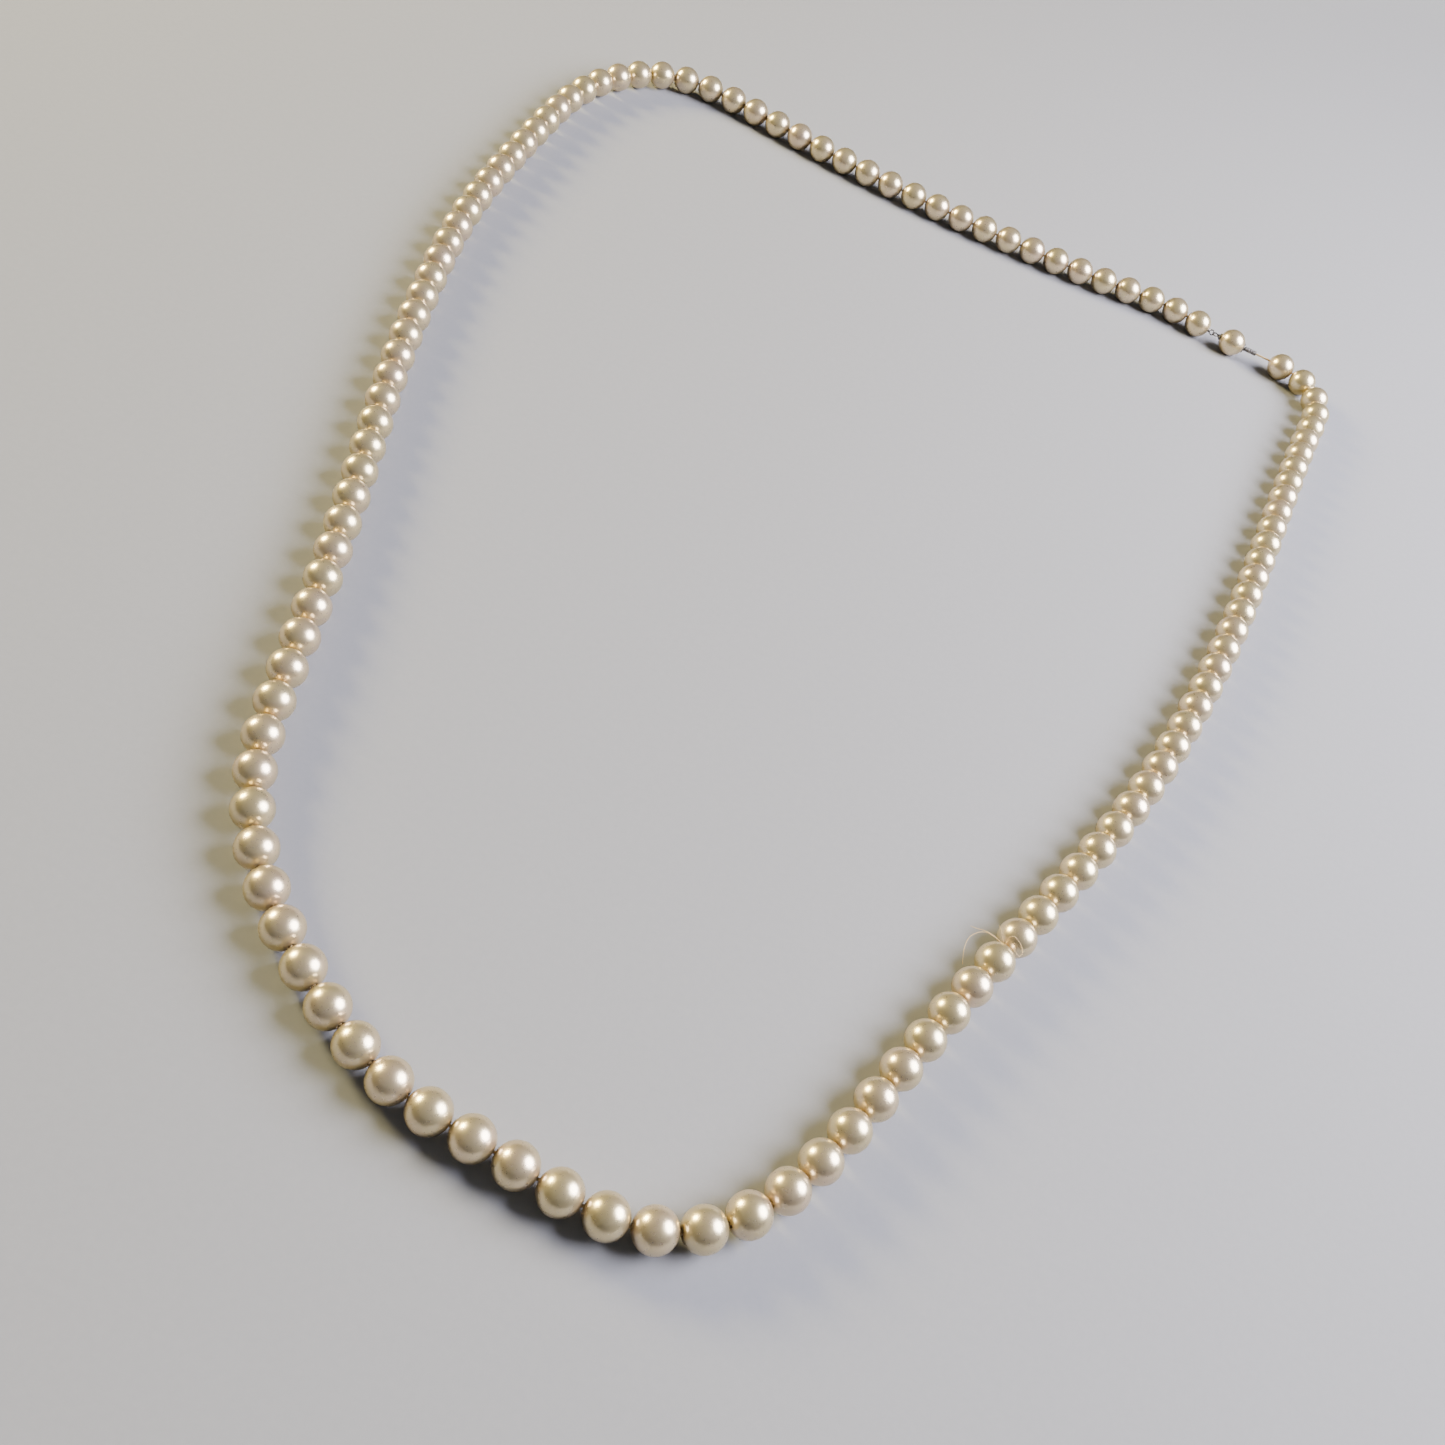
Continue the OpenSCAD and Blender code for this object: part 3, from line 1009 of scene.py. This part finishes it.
@dataclass
class Clasp:
    """The pearl ball clasp and the fittings on both sides of it."""

    line: StrandLine
    plug: float = 0.3 * MM
    loop_r: float = 0.6 * MM
    loop_wire: float = 0.25 * MM
    ring_r: float = 0.65 * MM
    ring_wire: float = 0.3 * MM
    play: float = 0.04 * MM
    side_gap: float = 3.0 * MM
    crimp_d: float = 0.8 * MM
    crimp_bore: float = 0.55 * MM
    crimp_l: float = 1.1 * MM
    peg_d: float = 0.76 * MM
    collar_d: float = 1.5 * MM
    mouth_d: float = 2.3 * MM
    mouth_bore: float = 1.3 * MM
    mouth_sink: float = 0.3 * MM
    socket_bore: float = 1.9 * MM
    travel: float = 2.7 * MM
    tube_d: float = 1.1 * MM
    tube_bore: float = 0.75 * MM
    stub_clear: float = 0.15 * MM
    fit: float = 0.02 * MM
    core: float = 0.01 * MM
    loop_sink: float = 0.05 * MM
    peg_reach: float = 1.2 * MM
    bead_size: float = 0.045 * MM
    beads: int = 22
    bead_tone: float = 0.24
    fine: int = 48
    coarse: int = 28
    wire_around: int = 12
    tube_around: int = 32

    def __post_init__(self) -> None:
        """Works out the stations along the clasp."""
        line = self.line
        out = -line.along(0)
        self.end = Axes.flat(line.knots[0], out)
        self.pin_off = self.plug - self.loop_sink + 2 * self.loop_r
        pin = self.end.at(self.pin_off)
        self.at_pin = Axes.flat(pin, line.knots[-1] - pin)
        radius = line.pearl_d / 2 * MM
        self.shell_off = self.side_gap + line.gap / 2 * MM - self.pin_off + radius
        self.shell = Axes.flat(self.at_pin.at(self.shell_off), self.at_pin.along)
        self.radius = radius
        self.tube_x = radius + 0.3 * MM
        self.tube_end = self.tube_x + self.travel + 0.2 * MM

    def bare_tip(self) -> Point:
        """Where the bare thread end stops, short of the end tube."""
        return self.shell.at(self.tube_end + self.stub_clear)

    def _place(
        self, mesh: Mesh, name: str, finish: Material, node: str, body: str
    ) -> None:
        """Builds a piece in place of a node and sets it on its body.

        Args:
            mesh: its shape.
            name: its name.
            finish: its material.
            node: the node it stands for.
            body: the body it rides on.
        """
        piece = mesh.build(name, finish)
        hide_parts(node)
        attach(piece, body)
        LOG.info("%s: %d faces, %.3f mm off", name, len(mesh.faces), stray(piece, node))

    def _tube(
        self, mesh: Mesh, axes: Axes, outline: Sequence[tuple[float, float]], count: int
    ) -> None:
        """Adds a turned shape whose outline closes on itself.

        Args:
            mesh: what it is added to.
            axes: its axis.
            outline: stations and radii, in order round the section.
            count: the number of points round it.
        """
        mesh.grid([axes.ring(x, r, count) for x, r in outline], closed=True)

    def end_loop(self, finish: Material) -> None:
        """The upright wire loop with its crimp."""
        mesh = Mesh()
        r, b, wall = self.crimp_d / 2, self.crimp_bore / 2, 0.04 * MM
        self._tube(
            mesh,
            self.end,
            [
                (-self.crimp_l, b), (-self.crimp_l, r - wall),
                (-self.crimp_l + wall, r), (self.plug - wall, r),
                (self.plug, r - wall), (self.plug, self.fit),
                (self.fit, self.fit), (0.0, b),
            ],
            self.coarse,
        )
        centre = self.end.at(self.pin_off - self.loop_r)
        turn = np.linspace(0, 2 * math.pi, self.fine, endpoint=False)
        loop = [
            centre
            + self.end.along * math.cos(a) * self.loop_r
            + self.end.up * math.sin(a) * self.loop_r
            for a in turn
        ]
        wire = [self.loop_wire / 2] * len(loop)
        sweep(mesh, loop, wire, self.wire_around, closed=True)
        self._place(mesh, "end_loop_wire", finish, "end_loop", "strand_left_11")

    def clasp_ring(self, finish: Material) -> None:
        """The level ring with its peg and domed collar."""
        mesh = Mesh()
        wires = (self.ring_wire + self.loop_wire) / 2 + self.play
        centre = self.at_pin.at(self.ring_r - wires)
        turn = np.linspace(0, 2 * math.pi, self.fine, endpoint=False)
        ring = [
            centre
            + self.at_pin.along * math.cos(a) * self.ring_r
            + self.at_pin.side * math.sin(a) * self.ring_r
            for a in turn
        ]
        wire = [self.ring_wire / 2] * len(ring)
        sweep(mesh, ring, wire, self.wire_around, closed=True)
        start = 2 * self.ring_r - wires
        face = self.shell_off - self.radius
        p, c = self.peg_d / 2, self.collar_d / 2
        self._tube(
            mesh,
            self.at_pin,
            [
                (start - 0.08 * MM, self.core), (start - 0.08 * MM, p * 0.6),
                (start, p * 0.92), (start + 0.06 * MM, p),
                (face - 0.28 * MM, p), (face - 0.27 * MM, c * 0.72),
                (face - 0.2 * MM, c * 0.93), (face - 0.1 * MM, c),
                (face + 0.12 * MM, c), (face + 0.12 * MM, p),
                (face + self.peg_reach, p), (face + self.peg_reach, self.core),
            ],
            self.coarse,
        )
        self._place(mesh, "clasp_ring_wire", finish, "clasp_ring", "clasp")

    def clasp_bead(self, finish: Material) -> None:
        """The clasp pearl, with its seats for the collar and the mouth ring."""
        mesh = Mesh()
        big = self.mouth_d / 2 + self.fit
        low = self.collar_d / 2 + self.fit
        radius = self.radius
        start, stop = math.asin(low / radius), math.pi - math.asin(big / radius)
        arc = np.linspace(start, stop, 30)
        outline = [(-radius * math.cos(a), radius * math.sin(a)) for a in arc]
        seat = radius - self.mouth_sink
        bore = self.socket_bore / 2
        outline += [(seat, big), (seat, bore), (-0.22 * MM, bore)]
        outline += [(-0.22 * MM, 0.4 * MM), (-radius + 0.14 * MM, 0.4 * MM)]
        outline += [(-radius + 0.14 * MM, low)]
        # rim weight: where the painted amber shade and bounced light of the bore and
        # seats falls, and where the nacre is rougher
        rim = [0.5, 0.2] + [0.0] * 26 + [0.2, 0.5] + [1.0] * 6
        rows = [self.shell.ring(x, r, self.fine) for x, r in outline]
        mesh.grid(rows, closed=True, rim=rim, tone=[self.bead_tone] * len(rows))
        self._place(mesh, "clasp_bead", finish, "clasp_pearl", "clasp")

    def mouth_ring(self, finish: Material) -> None:
        """The ring round the socket's mouth, with a beaded edge."""
        mesh = Mesh()
        outer, inner = self.mouth_d / 2, self.mouth_bore / 2
        low, high = self.radius - self.mouth_sink, self.radius + 0.05 * MM
        self._tube(
            mesh,
            self.shell,
            [
                (low, inner), (low, outer), (high - 0.1 * MM, outer),
                (high - 0.04 * MM, outer - 0.05 * MM), (high, outer - 0.14 * MM),
                (high - 0.02 * MM, inner + 0.16 * MM), (high, inner + 0.1 * MM),
                (high - 0.03 * MM, inner + 0.02 * MM), (high - 0.08 * MM, inner),
            ],
            self.fine,
        )
        size = self.bead_size
        for k in range(self.beads):
            a = 2 * math.pi * k / self.beads
            spot = self.shell.at(
                high - 0.04 * MM,
                math.cos(a) * (outer - 0.14 * MM),
                math.sin(a) * (outer - 0.14 * MM),
            )
            rows = []
            for tilt in np.linspace(-1.35, 1.35, 5):
                small = Axes(spot, self.shell.along, self.shell.side, self.shell.up)
                rows.append(small.ring(math.sin(tilt) * size, math.cos(tilt) * size, 8))
            mesh.grid(rows, capped=True)
        self._place(mesh, "mouth_ring", finish, "clasp_mouth", "clasp")

    def end_tube(self, finish: Material) -> None:
        """The end tube, with a rolled lip and two crimped waists."""
        mesh = Mesh()
        outer, inner = self.tube_d / 2, self.tube_bore / 2
        lip = 0.03 * MM
        a, b = self.tube_x, self.tube_end
        outline = [
            (a, self.core), (a, outer - 0.12 * MM), (a + 0.05 * MM, outer - lip),
        ]
        for share in np.linspace(0.06, 0.90, 30):
            waist = sum(math.exp(-(((share - w) / 0.035) ** 2)) for w in (0.42, 0.62))
            outline.append((a + (b - a) * share, outer - lip - 0.07 * MM * waist))
        outline += [
            (b - 0.16 * MM, outer), (b - 0.08 * MM, outer), (b, outer - 0.07 * MM),
            (b, inner + 0.03 * MM), (b - 0.05 * MM, inner),
            (a + 0.2 * MM, inner), (a + 0.2 * MM, self.core),
        ]
        self._tube(mesh, self.shell, outline, self.tube_around)
        self._place(mesh, "end_tube", finish, "clasp_tube", "tongue")

    def build(
        self, pearl: Material, metal: Material, nodes: dict[str, bpy.types.Object]
    ) -> None:
        """Builds the clasp's pieces and dresses the inner ones.

        Args:
            pearl: the pearls' material.
            metal: the fittings' material.
            nodes: the frame's nodes.
        """
        self.end_loop(metal)
        self.clasp_ring(metal)
        self.clasp_bead(pearl)
        self.mouth_ring(metal)
        self.end_tube(metal)
        for name in ("clasp_socket", "clasp_tongue"):
            data = nodes[name].data
            data.materials.clear()
            data.materials.append(metal)
            LOG.info("%s keeps its own shape", name)


# ---- stage


@dataclass(frozen=True)
class Lamp:
    """One soft round lamp that faces the strand."""

    name: str
    way: tuple[float, float, float]
    far: float
    size: float
    power: float
    colour: tuple[float, float, float]

    def spot(self) -> Vector:
        """Where it stands."""
        return Vector(self.way).normalized() * self.far

    def reach(self, place: Point) -> float:
        """The light that it gives a place on the floor.

        Args:
            place: the place.

        Returns:
            Watts on a square metre.
        """
        ray = self.spot() - Vector(place)
        way = ray.normalized()
        face = max(way.dot(self.spot().normalized()), 0.0)
        return self.power / math.pi * face * max(way.z, 0.0) / ray.length_squared

    def build(self) -> None:
        """Adds it to the scene."""
        data = bpy.data.lights.new(self.name, "AREA")
        data.shape = "DISK"
        data.size = self.size
        data.energy = self.power
        data.color = self.colour
        lamp = bpy.data.objects.new(self.name, data)
        lamp.location = self.spot()
        lamp.rotation_euler = (-self.spot()).to_track_quat("-Z", "Y").to_euler()
        bpy.context.scene.collection.objects.link(lamp)


@dataclass
class Stage:
    """Floor, backdrop, lights and camera."""

    eye: tuple[float, float, float] = (-0.0030, -0.1938, 0.1675)
    down: float = 49.14
    lean: float = 24.30
    turn: float = -0.09
    lens: float = 35.0
    edge: float = 1.5
    cove: float = 0.8
    wall: float = 2.6
    around: int = 72
    near: float = 0.22
    away: float = 0.75
    centre: float = 0.02
    floor_rings: int = 38
    cove_rings: int = 13
    ceiling_spread: float = 2.0
    ceiling_power: float = 0.3
    ceiling_colour: tuple[float, float, float] = (0.96, 0.97, 1.0)
    room_colour: Colour = (0.78, 0.80, 0.84, 1.0)
    room_strength: float = 0.14
    sensor: float = 36.0
    nearest: float = 0.01
    lamps: tuple[Lamp, ...] = (
        Lamp("warm_lamp", (-0.89, 0.23, 0.40), 0.9, 0.27, 22.0, (1.0, 0.86, 0.44)),
        Lamp("cool_window", (0.77, 0.17, 0.62), 0.6, 0.48, 20.5, (0.85, 0.85, 1.0)),
    )

    def evenness(self, place: Point) -> tuple[float, float]:
        """The painted light and painted shade that keep the sheet evenly pale at a
        place away from the strand.

        Args:
            place: a place on the sheet.

        Returns:
            How much painted light it glows with where little lamplight reaches, and how
            much painted shade darkens it where a lamp stands close, each 0 by the
            strand.
        """
        middle = sum(lamp.reach(np.zeros(3)) for lamp in self.lamps)
        here = sum(lamp.reach(place) for lamp in self.lamps)
        far = float(np.hypot(place[0], place[1]))
        share = min(max((far - self.near) / (self.away - self.near), 0.0), 1.0)
        share = share * share * (3.0 - 2.0 * share)
        glow = max(1.0 - here / middle, 0.0)
        dim = max(1.0 - middle / here, 0.0) if here > 0.0 else 0.0
        return share * glow, share * dim

    def sheet(
        self, name: str, profile: Sequence[tuple[float, float]]
    ) -> bpy.types.Object:
        """Makes one round part of the sheet.

        Args:
            name: its name.
            profile: distance from the middle and height of each ring.

        Returns:
            The part.
        """
        mesh = Mesh()
        turns = -np.linspace(0.0, 2.0 * math.pi, self.around, endpoint=False)
        for r, z in profile:
            for turn in turns:
                place = np.array((r * math.cos(turn), r * math.sin(turn), z))
                mesh.points.append(place)
                # painted light and painted shade for this point of the sheet
                glow, dim = self.evenness(place)
                mesh.values.setdefault("glow", []).append(glow)
                mesh.values.setdefault("dim", []).append(dim)
        for ring in range(len(profile) - 1):
            for j in range(self.around):
                low, k = ring * self.around, (j + 1) % self.around
                high = low + self.around
                mesh.faces.append((low + j, low + k, high + k, high + j))
        if profile[0][0] < self.near:
            mesh.faces.append(tuple(reversed(range(self.around))))
        part = mesh.build(name, PaleFloor().make())
        return part

    def floor(self) -> None:
        """A plain pale sheet under the strand, curved up far behind it."""
        flat = np.linspace(self.centre, self.edge, self.floor_rings)
        self.sheet("floor", [(float(r), 0.0) for r in flat])
        curve = np.linspace(0.0, math.pi / 2.0, self.cove_rings)
        rise = [
            (self.edge + self.cove * math.sin(t), self.cove * (1.0 - math.cos(t)))
            for t in curve
        ]
        rise.append((self.edge + self.cove, self.wall))
        # The backdrop shows only to the camera; like the floor, it glows with painted
        # light where little lamplight reaches.
        backdrop = self.sheet("backdrop", rise)
        backdrop.visible_diffuse = False
        backdrop.visible_glossy = False
        backdrop.visible_shadow = False

    def lights(self) -> None:
        """A warm lamp from the left, a cool window from the right, soft fill."""
        for lamp in self.lamps:
            lamp.build()
        data = bpy.data.lights.new("ceiling", "SUN")
        data.angle = self.ceiling_spread
        data.energy = self.ceiling_power
        data.color = self.ceiling_colour
        ceiling = bpy.data.objects.new("ceiling", data)
        bpy.context.scene.collection.objects.link(ceiling)
        world = bpy.data.worlds.new("soft_room")
        world.use_nodes = True
        background = world.node_tree.nodes["Background"]
        background.inputs["Color"].default_value = self.room_colour
        background.inputs["Strength"].default_value = self.room_strength
        bpy.context.scene.world = world

    def camera(self) -> None:
        """The camera, above and in front of the strand, leaning over."""
        tilt, roll = math.radians(self.down), math.radians(self.lean)
        swing = Matrix.Rotation(math.radians(self.turn), 3, "Z")
        ahead = swing @ Vector((0.0, math.cos(tilt), -math.sin(tilt)))
        right = swing @ Vector((1.0, 0.0, 0.0))
        up = right.cross(ahead)
        side = right * math.cos(roll) + up * math.sin(roll)
        top = up * math.cos(roll) - right * math.sin(roll)
        data = bpy.data.cameras.new("view")
        data.lens = self.lens
        data.sensor_width = self.sensor
        data.clip_start = self.nearest
        camera = bpy.data.objects.new("view", data)
        turn = Matrix((side, top, -ahead)).transposed().to_4x4()
        camera.matrix_world = Matrix.Translation(Vector(self.eye)) @ turn
        bpy.context.scene.collection.objects.link(camera)
        bpy.context.scene.camera = camera

    def build(self) -> None:
        """Sets the camera, then the floor and the lights."""
        self.camera()
        self.floor()
        self.lights()


def main() -> None:
    """Builds the stage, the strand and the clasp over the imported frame."""
    logging.basicConfig(level=logging.INFO, format="%(name)s: %(message)s")
    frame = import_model()
    Stage().build()
    line = StrandLine()
    layout = Layout()
    nacre = Nacre().make()
    metal = DarkenedMetal().make()
    clasp = Clasp(line)
    Pearls(line, layout).build(nacre)
    Thread(line, layout).build(TwistedThread().make(), clasp.bare_tip())
    clasp.build(nacre, metal, frame["nodes"])
    LOG.info("all pieces are built")


if __name__ == "__main__":
    main()
